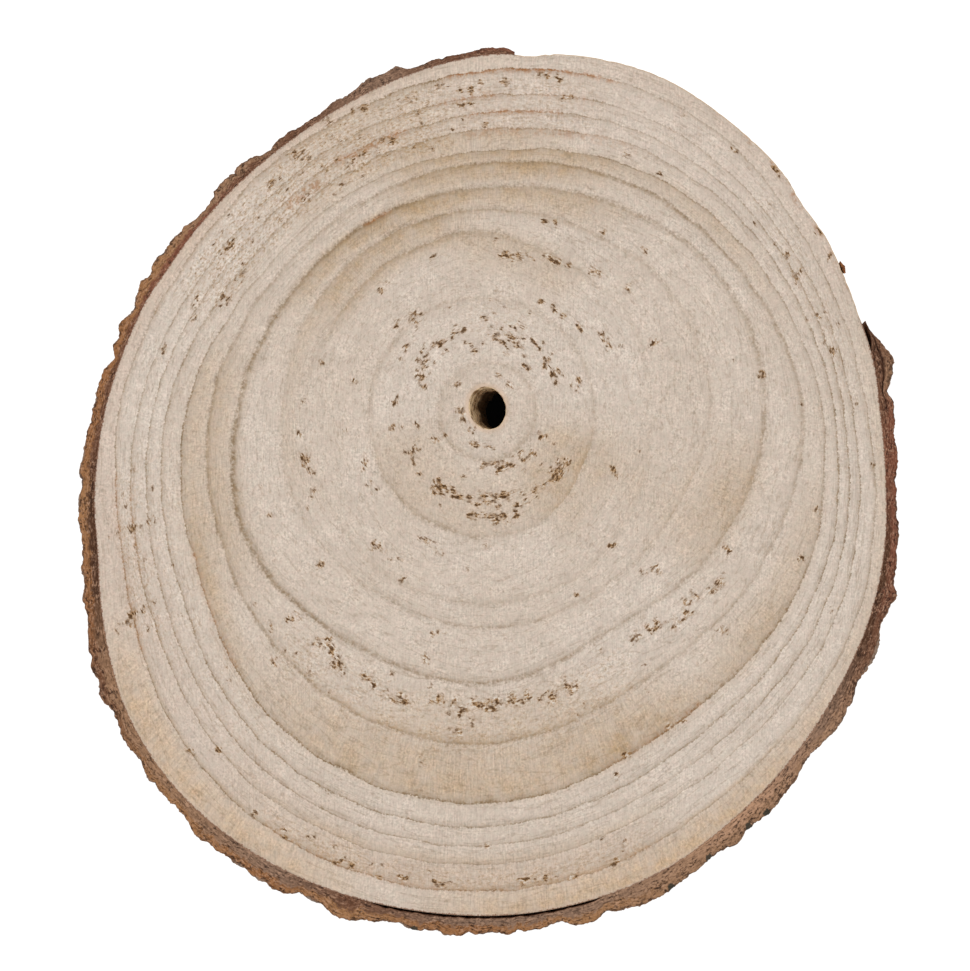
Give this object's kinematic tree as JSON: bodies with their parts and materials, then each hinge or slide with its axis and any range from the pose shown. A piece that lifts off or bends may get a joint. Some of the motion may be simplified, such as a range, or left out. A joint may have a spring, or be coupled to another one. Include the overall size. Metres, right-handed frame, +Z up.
{
  "type": "wood slice",
  "caption": "Round slice sawn across a pale, light trunk, with a hollow pith, wide growth rings and a band of thin brown bark that leaves one stretch of the rim bare.",
  "frame": {"origin": "on the surface that the slice lies on, under the middle of its outline", "axes": "+Z up, out of the upper sawn face; +Y along the longest way across, towards the side where the rim comes closest to the pith; +X across it, towards the bark's peeled end"},
  "size_m": [0.296, 0.3198, 0.03],
  "materials": {
    "wood": "sawn across the grain, dry, unfinished",
    "bark": "natural thin bark, rough, dry",
    "bark_flake": "flake of inner bark, rough, dry"
  },
  "bodies": {
    "root": {"wood": "wood", "bark": "bark", "bark_flake": "bark_flake"}
  },
  "joints": []
}
